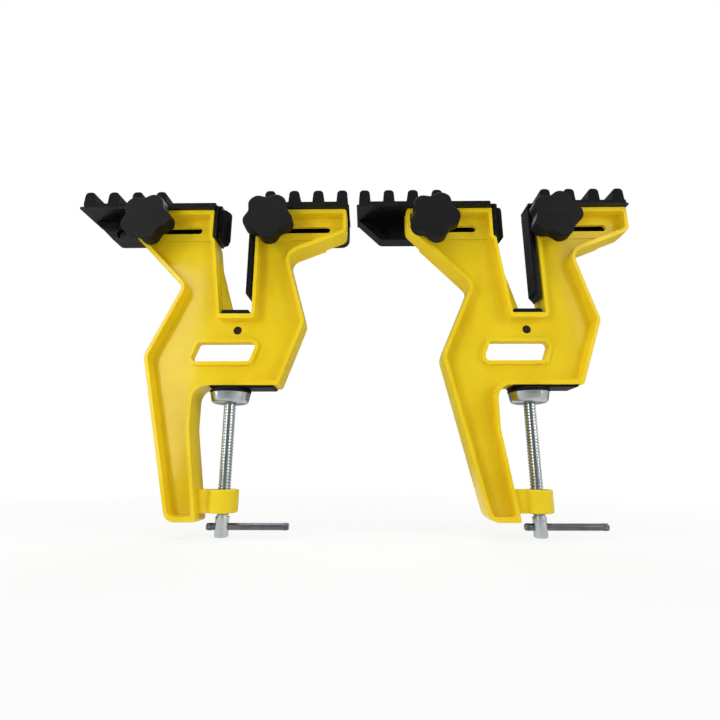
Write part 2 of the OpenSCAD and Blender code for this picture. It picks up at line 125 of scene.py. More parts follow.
def blended(tree, factor, first, second, out_kind):
    """Mixes two shader nodes by the factor and sends the result to the tree's output."""
    mix = node_of(tree, "ShaderNodeMixShader")
    link(tree, factor, mix.inputs[0])
    link(tree, first.outputs[0], mix.inputs[1])
    link(tree, second.outputs[0], mix.inputs[2])
    link(tree, mix.outputs[0], node_of(tree, out_kind).inputs[0])


print("node helpers ready")

# %% [markdown]
# The camera sits low and close, tilted up a little, so the upper jaws show their undersides and
# the knobs stand up against the teeth. A wide lens at this distance gives the strong perspective.

# %% Camera
camera_data = bpy.data.cameras.new("camera")
camera_data.lens = 22.59
camera_data.sensor_width = 36.0
camera_data.clip_start = 0.01
camera = bpy.data.objects.new("camera", camera_data)
camera.location = (0.118, -0.388, -0.0684)
camera.rotation_euler = (math.radians(103.44), 0.0, math.radians(0.80))
bpy.context.scene.collection.objects.link(camera)
bpy.context.scene.camera = camera
print("camera at", tuple(camera.location))

# %% [markdown]
# Light comes from soft panels: a large one overhead, one from each side of the front, one high
# behind, and two upright strips that draw thin highlights down the round parts. The one behind
# stands high on purpose: lower down, the side walls would mirror it and lose their edges.


# %% Lamps
MIDDLE = Vector((0.11, 0.0, 0.03))


def panel(name, size, power, location):
    """A soft lamp, size in metres and power in watts, that faces the middle of the pair."""
    lamp = bpy.data.lights.new(name, "AREA")
    lamp.shape = "RECTANGLE"
    lamp.size, lamp.size_y = size
    lamp.energy = power
    light = bpy.data.objects.new(name, lamp)
    light.location = location
    light.rotation_euler = (MIDDLE - Vector(location)).to_track_quat("-Z", "Y").to_euler()
    bpy.context.scene.collection.objects.link(light)
    print("lamp", name, power, "W")


panel("overhead", (0.9, 0.6), 5.5, (0.0, -0.25, 0.95))
panel("front_left", (0.3, 0.6), 3.1, (-0.5, -0.8, 0.2))
panel("front_right", (0.3, 0.6), 1.7, (0.8, -0.7, 0.25))
panel("back", (0.9, 0.6), 6.0, (0.1, 0.7, 1.0))
panel("strip_left", (0.12, 0.8), 2.6, (-0.9, -0.3, 0.15))
panel("strip_right", (0.12, 0.8), 2.6, (1.15, -0.5, 0.15))

# %% [markdown]
# The world is white where the camera looks at it, and dim where it lights the object, so the
# background stays clean while shapes keep their shading. A mirror-like surface sees it white to
# the sides and dark ahead and behind, which gives the screws their dark middle line. The floor
# does the same: it is white to the camera, keeps a soft shadow near the object, and is mirrored
# darker far in front and far behind.

# %% World
MIRRORED_DARK = 0.12
WORLD_LIGHT = 0.13

world = bpy.data.worlds.new("studio")
bpy.context.scene.world = world
world.use_nodes = True
tree = world.node_tree
tree.nodes.clear()
ray = node_of(tree, "ShaderNodeLightPath").outputs
heading = node_of(tree, "ShaderNodeNewGeometry").outputs["Incoming"]
backdrop = mapped(tree, sideways(tree, heading), 0.8, 0.25, MIRRORED_DARK, 1.0, "SMOOTHSTEP")
mirrored = math_of(tree, "MAXIMUM", ray["Is Glossy Ray"], ray["Is Transmission Ray"])
shown = math_of(tree, "MULTIPLY", mirrored, backdrop)
seen = math_of(tree, "MAXIMUM", ray["Is Camera Ray"], shown)
dim = node_of(tree, "ShaderNodeBackground")
dim.inputs["Color"].default_value = (0.95, 0.97, 1.0, 1.0)
dim.inputs["Strength"].default_value = WORLD_LIGHT
white = node_of(tree, "ShaderNodeBackground")
white.inputs["Color"].default_value = (1.0, 1.0, 1.0, 1.0)
white.inputs["Strength"].default_value = 1.0
blended(tree, seen, dim, white, "ShaderNodeOutputWorld")
bpy.context.scene.view_settings.view_transform = "Standard"
print("world lights with", WORLD_LIGHT)

# %% Floor
FLOOR_HEIGHT = LOWEST - 0.0006
SHADOW_SHARE = 0.82

bm = bmesh.new()
bmesh.ops.create_grid(bm, x_segments=1, y_segments=1, size=4.0)
bmesh.ops.translate(bm, verts=bm.verts, vec=(0, 0, FLOOR_HEIGHT))
floor_mesh = bpy.data.meshes.new("floor")
bm.to_mesh(floor_mesh)
bm.free()
floor = bpy.data.objects.new("floor", floor_mesh)
bpy.context.scene.collection.objects.link(floor)
material = bpy.data.materials.new("floor")
material.use_nodes = True
tree = material.node_tree
tree.nodes.clear()
ray = node_of(tree, "ShaderNodeLightPath").outputs
place = object_place(tree)
beside = mapped(tree, sideways(tree, place), 0.6, 0.15, 0.25, 1.0, "SMOOTHSTEP")
mirrored = math_of(tree, "MULTIPLY", ray["Is Glossy Ray"], beside)
reach = node_of(tree, "ShaderNodeVectorMath", operation="LENGTH")
link(tree, place, reach.inputs[0])
share = mapped(tree, reach.outputs["Value"], 0.2, 0.8, SHADOW_SHARE, 1.0, "SMOOTHSTEP")
seen = math_of(tree, "MULTIPLY", ray["Is Camera Ray"], share)
plain = node_of(tree, "ShaderNodeBsdfDiffuse")
plain.inputs["Color"].default_value = (0.9, 0.9, 0.9, 1)
glow = node_of(tree, "ShaderNodeEmission")
link(tree, math_of(tree, "MAXIMUM", ray["Is Camera Ray"], mirrored), glow.inputs["Strength"])
glowing = math_of(tree, "MAXIMUM", seen, ray["Is Glossy Ray"])
blended(tree, glowing, plain, glow, "ShaderNodeOutputMaterial")
floor_mesh.materials.append(material)
print("floor at", round(FLOOR_HEIGHT, 4))

# %% [markdown]
# Every finish starts from the same few effects. A slow drift between two tones keeps a large face
# from looking printed. Fine grain roughens the surface. Lighter edges and light scuffs show where
# hands, skis and the bench have scraped it, and the lighter edges are partly a painted highlight as
# well. Hollow corners are darkened as painted shade.
# Each effect is a node group with named inputs, so each material places it with its own values;
# the shader stays in the material.

# %% Group maker
FLOAT = "NodeSocketFloat"
COLOR = "NodeSocketColor"


def group_of(name, inputs, outputs):
    """Starts a node group with float or colour sockets, and returns (tree, start, end)."""
    tree = bpy.data.node_groups.new(name, "ShaderNodeTree")
    for label, kind, value in inputs:
        socket = tree.interface.new_socket(name=label, in_out="INPUT", socket_type=kind)
        socket.default_value = value
    for label, kind in outputs:
        tree.interface.new_socket(name=label, in_out="OUTPUT", socket_type=kind)
    return tree, node_of(tree, "NodeGroupInput"), node_of(tree, "NodeGroupOutput")


def noise_at(tree, place, scale, detail=2.0, rough=0.5):
    """Noise on the object's own coordinates; scale is a number or a socket, in 1/m."""
    node = node_of(tree, "ShaderNodeTexNoise")
    node.inputs["Detail"].default_value = detail
    node.inputs["Roughness"].default_value = rough
    feed(tree, scale, node.inputs["Scale"])
    link(tree, place, node.inputs["Vector"])
    return node.outputs["Fac"]


def mixed(tree, factor, first, second):
    """Colour between first and second; each of the three is a value or a socket."""
    node = node_of(tree, "ShaderNodeMix", data_type="RGBA")
    for index, value in ((0, factor), (6, first), (7, second)):
        feed(tree, value, node.inputs[index])
    return node.outputs[2]


print("group helpers ready")

# %% Tone drift
tree, start, end = group_of(
    "tone_drift",
    [("Light tone", COLOR, (1, 1, 1, 1)), ("Dark tone", COLOR, (0.8, 0.8, 0.8, 1)),
     ("Patch per metre", FLOAT, 20.0)],
    [("Color", COLOR), ("Mask", FLOAT)])
drift = noise_at(tree, object_place(tree), start.outputs["Patch per metre"], detail=4.0, rough=0.55)
mask = mapped(tree, drift, 0.32, 0.68)
link(tree, mask, end.inputs["Mask"])
toned = mixed(tree, mask, start.outputs["Light tone"], start.outputs["Dark tone"])
link(tree, toned, end.inputs["Color"])
TONE = tree

# %% Grain
tree, start, end = group_of(
    "surface_grain",
    [("Grains per metre", FLOAT, 2000.0), ("Pebble", FLOAT, 0.5),
     ("Waves per metre", FLOAT, 150.0), ("Wave", FLOAT, 0.3)],
    [("Height", FLOAT)])
place = object_place(tree)
fine = noise_at(tree, place, start.outputs["Grains per metre"], detail=3.0, rough=0.6)
pebble = node_of(tree, "ShaderNodeTexVoronoi")
link(tree, place, pebble.inputs["Vector"])
link(tree, start.outputs["Grains per metre"], pebble.inputs["Scale"])
slow = noise_at(tree, place, start.outputs["Waves per metre"], detail=2.0)
pebbled = math_of(tree, "MULTIPLY", pebble.outputs["Distance"], start.outputs["Pebble"])
waves = math_of(tree, "MULTIPLY", slow, start.outputs["Wave"])
link(tree, math_of(tree, "ADD", math_of(tree, "ADD", fine, pebbled), waves), end.inputs["Height"])
GRAIN = tree

# %% Lighter edges: wearing and painted highlight
# Partly wearing, partly painted highlight: convex edges, found by high pointiness and broken up by
# noise, get a mask that lightens the colour.
tree, start, end = group_of(
    "edges_worn_and_highlit",
    [("Amount", FLOAT, 0.5), ("Chips per metre", FLOAT, 300.0)],
    [("Mask", FLOAT)])
corner = node_of(tree, "ShaderNodeNewGeometry")
sharp = mapped(tree, corner.outputs["Pointiness"], 0.54, 0.66)
chips = noise_at(tree, object_place(tree), start.outputs["Chips per metre"], detail=5.0, rough=0.7)
broken = math_of(tree, "MULTIPLY", sharp, mapped(tree, chips, 0.42, 0.62))
link(tree, math_of(tree, "MULTIPLY", broken, start.outputs["Amount"]), end.inputs["Mask"])
EDGE_WEAR_AND_HIGHLIGHT = tree

# %% Painted shade in hollow corners
# Painted shade: hollow places, found by low pointiness, get a mask that darkens the colour there.
tree, start, end = group_of("painted_corner_shade", [("Amount", FLOAT, 0.5)], [("Mask", FLOAT)])
corner = node_of(tree, "ShaderNodeNewGeometry")
deep = mapped(tree, corner.outputs["Pointiness"], 0.48, 0.40)
link(tree, math_of(tree, "MULTIPLY", deep, start.outputs["Amount"]), end.inputs["Mask"])
CORNER_SHADE = tree

# %% Scuffs
tree, start, end = group_of(
    "scuffs",
    [("Amount", FLOAT, 0.3), ("Streaks per metre", FLOAT, 120.0), ("Turn", FLOAT, 0.6)],
    [("Mask", FLOAT)])
turn = node_of(tree, "ShaderNodeMapping")
turn.inputs["Scale"].default_value = (0.12, 1.0, 3.0)
spin_by = node_of(tree, "ShaderNodeCombineXYZ")
link(tree, start.outputs["Turn"], spin_by.inputs["Y"])
link(tree, spin_by.outputs[0], turn.inputs["Rotation"])
link(tree, object_place(tree), turn.inputs["Vector"])
streak = noise_at(tree, turn.outputs["Vector"], start.outputs["Streaks per metre"],
                  detail=6.0, rough=0.75)
patch = noise_at(tree, object_place(tree), 35.0, detail=2.0)
lines = math_of(tree, "MULTIPLY", mapped(tree, patch, 0.48, 0.66), mapped(tree, streak, 0.56, 0.70))
link(tree, math_of(tree, "MULTIPLY", lines, start.outputs["Amount"]), end.inputs["Mask"])
SCUFFS = tree
print("node groups", [g.name for g in bpy.data.node_groups])

# %% [markdown]
# All finishes share one layout: tone drift, then lighter edges, partly scraped and partly a painted
# highlight, and scuffs, then painted shade in the hollow corners on the colour; the edge and scuff
# masks change the roughness too; the grain feeds a bump. What differs is the numbers, given in real
# sizes: the powder coat has a faint orange peel under a thin gloss, the rubber a fine pebble, and
# the nylon is smooth with long flow waves.


# %% Finish maker
def placed(tree, group, **values):
    node = node_of(tree, "ShaderNodeGroup", node_tree=group)
    for label, value in values.items():
        node.inputs[label.replace("_", " ")].default_value = value
    return node


def finish(name, light, dark, worn_and_highlight, roughness, spread, grain, depth, edge_wear_and_highlight, scuff=0.25, corner_shade=0.4,
           pebble=0.2, wave=0.3, waves=150.0, patches=22.0, shader_values=()):
    """A material. light and dark are its two tones, and the third colour is what scraping brings
    out on edges and scuffs; on the edges it is partly a painted highlight. roughness is that of a
    clean face, and spread what the edge and scuff masks add to it. grain is the grain's size and
    depth its height, in millimetres. waves and patches count the slow waves and tone patches per
    metre. scuff, pebble and wave are amounts, and so are the edge amount, which sets the scraped
    edges with their painted highlight, and the corner amount, which sets the painted shade in
    hollow corners."""
    material = bpy.data.materials.new(name)
    material.use_nodes = True
    tree = material.node_tree
    shader = tree.nodes["Principled BSDF"]
    tone = placed(tree, TONE, Light_tone=light, Dark_tone=dark, Patch_per_metre=patches)
    corners = placed(tree, EDGE_WEAR_AND_HIGHLIGHT, Amount=edge_wear_and_highlight)
    scuffs = placed(tree, SCUFFS, Amount=scuff)
    corner_shade_node = placed(tree, CORNER_SHADE, Amount=corner_shade)
    height = placed(tree, GRAIN, Grains_per_metre=1000.0 / grain, Pebble=pebble, Wave=wave,
                    Waves_per_metre=waves)
    # Edges and scuffs take the third colour; on the edges this is partly a painted highlight.
    wear_and_highlight_mask = math_of(tree, "MAXIMUM", corners.outputs["Mask"], scuffs.outputs["Mask"])
    # Painted shade: hollow corners are mixed towards a quarter of the dark tone.
    shadow = tuple(channel * 0.25 for channel in dark[:3]) + (1.0,)
    worn_and_highlit_tone = mixed(tree, wear_and_highlight_mask, tone.outputs["Color"], worn_and_highlight)
    link(tree, mixed(tree, corner_shade_node.outputs["Mask"], worn_and_highlit_tone, shadow), shader.inputs["Base Color"])
    drift = mapped(tree, tone.outputs["Mask"], 0.0, 1.0, roughness, roughness + 0.25 * spread)
    rough = math_of(tree, "ADD", drift, math_of(tree, "MULTIPLY", wear_and_highlight_mask, spread))
    link(tree, rough, shader.inputs["Roughness"])
    bump = node_of(tree, "ShaderNodeBump")
    bump.inputs["Strength"].default_value = 1.0
    bump.inputs["Distance"].default_value = depth * MM
    link(tree, height.outputs["Height"], bump.inputs["Height"])
    link(tree, bump.outputs["Normal"], shader.inputs["Normal"])
    for label, value in dict(shader_values).items():
        shader.inputs[label].default_value = value
    material.diffuse_color = light
    return material


def shade(red, green, blue):
    """Linear colour from the display values 0 to 255."""
    linear = [((c / 255 + 0.055) / 1.055) ** 2.4 if c > 10 else c / 255 / 12.92
              for c in (red, green, blue)]
    return (*linear, 1.0)


print("finish maker ready")

# %% Finishes
METAL = {"Metallic": 1.0}
# Painted light in the finishes: the edge amount and the third colour give edges that are partly a
# painted highlight, and the corner amount gives painted shade in hollow corners.
FINISHES = {
    "yellow_casting": finish(
        "yellow_powder_coat", shade(240, 211, 38), shade(231, 199, 24), shade(246, 226, 92),
        roughness=0.38, spread=0.15, grain=0.9, depth=0.03, edge_wear_and_highlight=0.35, scuff=0.12, corner_shade=0.45,
        wave=1.2, waves=420.0,
        shader_values={"IOR": 1.06, "Coat Weight": 0.5, "Coat Roughness": 0.1, "Coat IOR": 1.4}),
    "gloss_black": finish(
        "gloss_black_nylon", shade(12, 12, 13), shade(8, 8, 9), shade(48, 48, 50),
        roughness=0.22, spread=0.25, grain=0.35, depth=0.004, edge_wear_and_highlight=0.3, wave=1.0, waves=160.0,
        shader_values={"IOR": 1.3}),
    # Painted highlight: this nylon's light edge colour and its edge amount are set high to draw
    # thin light lines along its edges.
    "matt_black": finish(
        "matt_black_nylon", shade(17, 18, 20), shade(11, 12, 13), shade(60, 60, 64),
        roughness=0.46, spread=0.2, grain=0.28, depth=0.02, edge_wear_and_highlight=0.45, pebble=0.8,
        shader_values={"IOR": 1.25}),
    "grey_rubber": finish(
        "ribbed_grey_rubber", shade(18, 18, 19), shade(12, 12, 13), shade(46, 46, 45),
        roughness=0.72, spread=0.15, grain=0.45, depth=0.05, edge_wear_and_highlight=0.4, scuff=0.4, pebble=1.0,
        patches=60.0, shader_values={"IOR": 1.2}),
    "black_rubber": finish(
        "smooth_black_rubber", shade(11, 11, 12), shade(7, 7, 8), shade(36, 36, 35),
        roughness=0.5, spread=0.25, grain=0.4, depth=0.012, edge_wear_and_highlight=0.3, pebble=0.5,
        shader_values={"IOR": 1.2}),
    "brown_plastic": finish(
        "brown_plug", shade(46, 35, 14), shade(30, 22, 9), shade(78, 64, 34),
        roughness=0.5, spread=0.2, grain=0.4, depth=0.03, edge_wear_and_highlight=0.35, pebble=0.8, patches=300.0,
        shader_values={"IOR": 1.25}),
    "zinc": finish(
        "bright_zinc", shade(186, 190, 188), shade(164, 171, 176), shade(150, 150, 144),
        roughness=0.17, spread=0.2, grain=0.5, depth=0.008, edge_wear_and_highlight=0.4, scuff=0.5, corner_shade=0.95,
        patches=90.0, shader_values=METAL),
    "spring_steel": finish(
        "drawn_steel", shade(108, 110, 114), shade(86, 88, 92), shade(140, 140, 142),
        roughness=0.25, spread=0.25, grain=0.4, depth=0.008, edge_wear_and_highlight=0.4, scuff=0.6, patches=70.0,
        shader_values=METAL),
    "brass": finish(
        "turned_brass", shade(196, 160, 88), shade(172, 136, 68), shade(140, 108, 54),
        roughness=0.3, spread=0.2, grain=0.5, depth=0.008, edge_wear_and_highlight=0.3, scuff=0.3, patches=200.0,
        shader_values=METAL),
}
for subpart in frame["record"]["subparts"]:
    node = frame["nodes"][subpart["node"]]
    node.data.materials.clear()
    node.data.materials.append(FINISHES[subpart["material_slot"]])
print("finishes", sorted(FINISHES))

# %% [markdown]
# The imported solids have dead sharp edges, as an exact model should, but no moulded or cast piece
# does. Each new piece starts as a merged copy of its solid, loses the loose triangles inside its
# flat faces, and gets its edges rounded by the amount that its maker would. A weighted-normal
# modifier keeps the flat faces flat between the round edges.

# %% Copies and rounded edges
SLOT_OF = {s["node"]: s["material_slot"] for s in frame["record"]["subparts"]}
BODIES = frame["record"]["behaviour"]["bodies"]
BODY_OF = {node: body for body, nodes in BODIES.items() for node in nodes}


def copy_of(node):
    bm = bmesh.new()
    bm.from_mesh(frame["nodes"][node].data)
    bmesh.ops.remove_doubles(bm, verts=bm.verts, dist=0.001 * MM)
    bmesh.ops.dissolve_limit(bm, angle_limit=math.radians(1.0), verts=bm.verts, edges=bm.edges)
    return bm


def bent_edges(bm, least=25.0, test=lambda edge: True):
    """Edges whose two faces meet at more than that many degrees, and that pass the test."""
    return [e for e in bm.edges if len(e.link_faces) == 2
            and e.calc_face_angle(0.0) > math.radians(least) and test(e)]


def rounded(bm, edges, width, segments=3, clamp=True):
    if edges:
        bmesh.ops.bevel(bm, geom=edges, offset=width * MM, offset_type="OFFSET", segments=segments,
                        profile=0.5, affect="EDGES", clamp_overlap=clamp, material=-1,
                        loop_slide=True)


def piece(bm, name, body, slot_name, stands_for=(), smooth=40.0):
    """Makes the mesh an object that rides on that body and takes that slot's finish."""
    bmesh.ops.remove_doubles(bm, verts=bm.verts, dist=0.0005 * MM)
    mesh = bpy.data.meshes.new(name)
    bm.to_mesh(mesh)
    bm.free()
    mesh.materials.append(FINISHES[slot_name])
    mesh.shade_smooth()
    mesh.set_sharp_from_angle(angle=math.radians(smooth))
    made = bpy.data.objects.new(name, mesh)
    bpy.context.scene.collection.objects.link(made)
    weigh = made.modifiers.new("flat_faces", "WEIGHTED_NORMAL")
    weigh.keep_sharp = True
    weigh.mode = "FACE_AREA_WITH_ANGLE"
    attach(made, body)
    if stands_for:
        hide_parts(*stands_for)
    return made


def stand_in(bm, name, node, smooth):
    """Makes the mesh the piece that stands for that CAD node, on its body and in its slot."""
    return piece(bm, name, BODY_OF[node], SLOT_OF[node], (node,), smooth)


def softened(node, name, width, segments=3, least=25.0, smooth=40.0):
    """A copy of a CAD node with its sharp edges rounded, which stands for it."""
    bm = copy_of(node)
    rounded(bm, bent_edges(bm, least), width, segments)
    made = stand_in(bm, name, node, smooth)
    print(name, len(made.data.polygons), "faces")


print("solids to stand for", len(BODY_OF))

# %% [markdown]
# The casting is the piece that everybody looks at. A real one comes out of a two-part mould: its
# walls lean by a few degrees from the parting line at mid depth, every rim is rounded, and the
# rims flow into the web in a fillet. So the copy is cut at mid depth, the points of the front and
# back faces move a little into the metal, and then the edges are rounded group by group, the
# back edges of the jaw slots most. The round lug that holds the screw keeps its upright walls,
# and only its rims are rounded.

# %% Draft
HALF_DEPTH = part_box("left_frame")[1].y
OUTER_DRAFT = 0.9 * MM
POCKET_DRAFT = 0.3 * MM
NEAR = 0.02 * MM
UPRIGHT_LUG = (-105.0, -84.0, 12.2)  # lowest, highest and radius of what keeps its walls
SAME_WALL = 0.9995
REAL_CORNER = 0.35


def walls_at(vert):
    """The normals of the walls that meet at the point, each with how far the draft moves it."""
    walls = []
    for face in vert.link_faces:
        normal = face.normal
        if abs(normal.y) > 0.5 or any(normal.dot(w[0]) > SAME_WALL for w in walls):
            continue
        outer = any(abs(v.co.y) < NEAR for v in face.verts)
        amount = (OUTER_DRAFT if outer else POCKET_DRAFT) * abs(normal.x)
        walls.append((normal.copy(), amount * abs(vert.co.y) / HALF_DEPTH))
    return walls


def lean(bm, centre_x):
    """Moves the points near the front and back faces into the metal, so that the walls lean."""
    low, high, radius = (size * MM for size in UPRIGHT_LUG)
    moves = []
    for vert in bm.verts:
        at_lug = math.hypot(vert.co.x - centre_x, vert.co.y) < radius and low < vert.co.z < high
        if at_lug or abs(vert.co.y) < 0.45 * HALF_DEPTH:
            continue
        walls = walls_at(vert)
        if len(walls) == 1:
            normal, amount = walls[0]
            moves.append((vert, Vector((normal.x, 0, normal.z)) * -amount))
        elif len(walls) > 1:
            (a, p), (b, q) = walls[0], walls[1]
            area = a.x * b.z - a.z * b.x
            if abs(area) > REAL_CORNER:
                moves.append((vert, Vector((q * a.z - p * b.z, 0, p * b.x - q * a.x)) / area))
            elif a.dot(b) > 0.0:
                between_them = Vector((a.x + b.x, 0, a.z + b.z)).normalized()
                moves.append((vert, between_them * (-(p + q) / 2)))
    for vert, move in moves:
        vert.co += move
    return len(moves)


print("casting is", round(2 * HALF_DEPTH / MM, 2), "mm deep")

# %% Castings
LUG = (-105, -85, 12.1)  # lowest, highest and radius, in millimetres
RING = ((18.0, 45.0), (-42.5, 26.5))  # heights and sides of the ring between the two pockets
SLOTS = (146.0, 154.0)  # heights of the jaw slots
WEB, SLOT_LIP, RIM = (-1.0, 2.6), (2.0, 5.0), (8.0, math.inf)  # depths from the parting line


def between(edge, axis, low, high):
    return all(low * MM <= v.co[axis] <= high * MM for v in edge.verts)


def casting(side):
    shift = SIDES[side] / MM

    def at_lug(edge):
        low, high, radius = LUG
        return between(edge, 2, low, high) and between(edge, 0, shift - radius, shift + radius)

    def along_wall(edge, depths, convex):
        """An edge off the lug that keeps its depth, within that range."""
        near, far = sorted(abs(v.co.y) for v in edge.verts)
        return (far - near < 0.3 * MM and depths[0] < near / MM < depths[1]
                and edge.is_convex == convex and not at_lug(edge))

    def at_ring(edge):
        heights, (left, right) = RING
        return between(edge, 2, *heights) and between(edge, 0, shift + left, shift + right)

    def pocket(edge):
        return along_wall(edge, WEB, False)

    def lip(edge):
        return along_wall(edge, SLOT_LIP, True)

    def in_slot(edge):
        return between(edge, 2, *SLOTS)

    def at_back(edge):
        return edge.verts[0].co.y > 0

    def lug_rim(edge):
        return at_lug(edge) and abs(edge.verts[0].co.z - edge.verts[1].co.z) < 0.1 * MM

    bm = copy_of(side + "_frame")
    bmesh.ops.bisect_plane(bm, geom=bm.verts[:] + bm.edges[:] + bm.faces[:], dist=NEAR / 10,
                           plane_co=(0, 0, 0), plane_no=(0, 1, 0))
    bm.normal_update()
    moved = lean(bm, SIDES[side])
    bm.normal_update()
    rounded(bm, bent_edges(bm, 40, lambda e: pocket(e) and not at_ring(e)), 1.5, 4)
    rounded(bm, bent_edges(bm, 40, lambda e: pocket(e) and at_ring(e)), 1.9, 5)
    rounded(bm, bent_edges(bm, 30, lambda e: along_wall(e, RIM, True)), 0.9, 3)
    rounded(bm, bent_edges(bm, 40, lambda e: lip(e) and in_slot(e) and not at_back(e)), 0.2, 2)
    rounded(bm, bent_edges(bm, 40, lambda e: lip(e) and in_slot(e) and at_back(e)), 2.2, 5, False)
    rounded(bm, bent_edges(bm, 40, lambda e: lip(e) and not in_slot(e)), 0.5, 3)
    rounded(bm, bent_edges(bm, 50, lug_rim), 1.5, 4)
    made = piece(bm, side + "_casting", "vise_frames", "yellow_casting", (side + "_frame",), 32.0)
    print(side, "casting", moved, "points leaned", len(made.data.polygons), "faces")


for side in SIDES:
    casting(side)

# %% [markdown]
# The moulded parts are simpler: nylon jaws with a small radius on every edge, rubber strips with
# soft tooth edges, and thin pads that lie on the casting. Each keeps its exact outline. The
# arched face gets a wide rounding on its upright front edges, which turns its few flats into one
# curve.


# %% Jaws, grips and pads
def arched_face(side):
    node = side + "_short_jaw_face"

    def upright(edge, at_back):
        tall = abs(edge.verts[0].co.z - edge.verts[1].co.z) > 5 * MM
        return tall and (edge.verts[0].co.y > 7 * MM) == at_back

    bm = copy_of(node)
    rounded(bm, bent_edges(bm, 12, lambda e: upright(e, True)), 0.6, 3)
    rounded(bm, bent_edges(bm, 12, lambda e: upright(e, False)), 2.0, 4)
    rounded(bm, bent_edges(bm, 50), 0.4, 2)
    stand_in(bm, side + "_arched_face", node, 60.0)


for side in SIDES:
    softened(side + "_bench_pad", side + "_seat_rubber", 0.35)
    softened(side + "_gap_pad", side + "_gap_rubber", 0.5)
    softened(side + "_long_jaw_face", side + "_plate_rubber", 0.4)
    arched_face(side)
    for jaw in ("short", "long"):
        softened(f"{side}_{jaw}_jaw", f"{side}_{jaw}_moulding", 0.6, least=30.0)
        softened(f"{side}_{jaw}_jaw_grip", f"{side}_{jaw}_teeth", 1.0, least=35.0)

# %% [markdown]
# A knob is gripped by its lobes, so the front edge and the rim behind the lobes are rounded. The
# lobed outline comes straight from the solid, and the face stays quite flat.


# %% Knobs
def axis_point(node, axis):
    """The middle of the node's box, moved along that axis to zero."""
    low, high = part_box(node)
    return Vector([0.0 if name == axis else (a + b) / 2 for name, a, b in zip("XYZ", low, high)])


def knob(side, jaw):
    node = f"{side}_{jaw}_jaw_knob"
    centre, front = axis_point(node, "Y"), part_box(node)[0].y

    def on_face(vert):
        return vert.co.y < front + 0.1 * MM

    def behind_lobes(vert):
        reach = math.hypot(vert.co.x - centre.x, vert.co.z - centre.z)
        return front + 11 * MM < vert.co.y < front + 13 * MM and reach > 15 * MM

    bm = copy_of(node)
    rounded(bm, bent_edges(bm, 50, lambda e: all(on_face(v) for v in e.verts)), 0.8, 3)
    rounded(bm, bent_edges(bm, 50, lambda e: all(behind_lobes(v) for v in e.verts)), 1.0, 3)
    made = stand_in(bm, f"{side}_{jaw}_knob", node, 45.0)
    print(made.name, len(made.data.polygons), "faces, front at", round(front, 4))


for side in SIDES:
    for jaw in ("short", "long"):
        knob(side, jaw)

# %% [markdown]
# Turned and threaded parts are spun. A thread is a flat-crested ridge, one pitch long, spun with
# a lift of one pitch per turn: the end of each turn meets the start of the next, and merging the
# doubles closes them into one skin. The crests have the CAD screw's diameter, so the screw still
# fits the lug; the roots are cut below that.

# %% Turned shapes
AXES = {"X": Vector((1, 0, 0)), "Y": Vector((0, 1, 0)), "Z": Vector((0, 0, 1))}


def chain_of(bm, points, axis, centre):
    """Draws a chain of (distance along the axis, radius) points, all in millimetres."""
    along, out = AXES[axis], AXES["Z" if axis == "X" else "X"]
    chain = [bm.verts.new(centre + along * at * MM + out * radius * MM) for at, radius in points]
    return chain + [bm.edges.new(pair) for pair in zip(chain, chain[1:])]


def turned(profile, axis, centre, steps):
    """Spins a profile that ends on the axis, or where it starts, into a closed skin."""
    bm = bmesh.new()
    bmesh.ops.spin(bm, geom=chain_of(bm, profile, axis, centre), cent=centre, axis=AXES[axis],
                   angle=2 * math.pi, steps=steps, use_merge=True, use_duplicate=False)
    bmesh.ops.remove_doubles(bm, verts=bm.verts, dist=0.002 * MM)
    bmesh.ops.recalc_face_normals(bm, faces=bm.faces)
    return bm


def join(bm, part):
    """Adds the mesh of part to bm."""
    scratch = bpy.data.meshes.new("scratch")
    part.to_mesh(scratch)
    part.free()
    bm.from_mesh(scratch)
    bpy.data.meshes.remove(scratch)


def threaded(bm, axis, centre, start, end, crest, root, pitch, steps):
    """Adds a threaded length to bm, from start to end along the axis. All in millimetres."""
    ridge = [(0.0, root), (0.1, root), (0.24, crest), (0.76, crest), (0.9, root), (1.0, root)]
    points = [(start + share * pitch, radius) for share, radius in ridge]
    turns = max(1, round((end - start) / pitch) - 1)
    part = bmesh.new()
    bmesh.ops.spin(part, geom=chain_of(part, points, axis, centre), cent=centre, axis=AXES[axis],
                   dvec=AXES[axis] * (pitch * MM / steps), angle=2 * math.pi * turns,
                   steps=steps * turns, use_merge=False, use_duplicate=False)
    bmesh.ops.remove_doubles(part, verts=part.verts, dist=0.01 * MM)
    bmesh.ops.holes_fill(part, edges=part.edges, sides=0)
    bmesh.ops.recalc_face_normals(part, faces=part.faces)
    join(bm, part)
    return turns


print("spins around", list(AXES))

# %% Clamp bolts, washers and plugs
BOLT_SHANK = 2.98
BOLT_ROOT = 2.4
BOLT_PITCH = 1.0
BOLT_THREAD = 22.0


def clamp_bolt(side, jaw):
    node = f"{side}_{jaw}_jaw_bolt"
    low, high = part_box(node)
    centre = axis_point(node, "Y")
    start, head, flange = low.y / MM, high.y / MM, (high.x - low.x) / 2 / MM
    profile = [(start + 12.0, 0.0), (start + 12.0, 2.9), (head - 3.4, BOLT_SHANK),
               (head - 3.4, flange - 0.3), (head - 3.1, flange), (head - 2.0, flange),
               (head - 0.9, flange * 0.84), (head - 0.25, flange * 0.5), (head - 0.05, 0.0)]
    bm = turned(profile, "Y", centre, 40)
    turns = threaded(bm, "Y", centre, start, start + BOLT_THREAD, BOLT_SHANK, BOLT_ROOT,
                     BOLT_PITCH, 20)
    stand_in(bm, f"{side}_{jaw}_bolt", node, 35.0)
    return turns


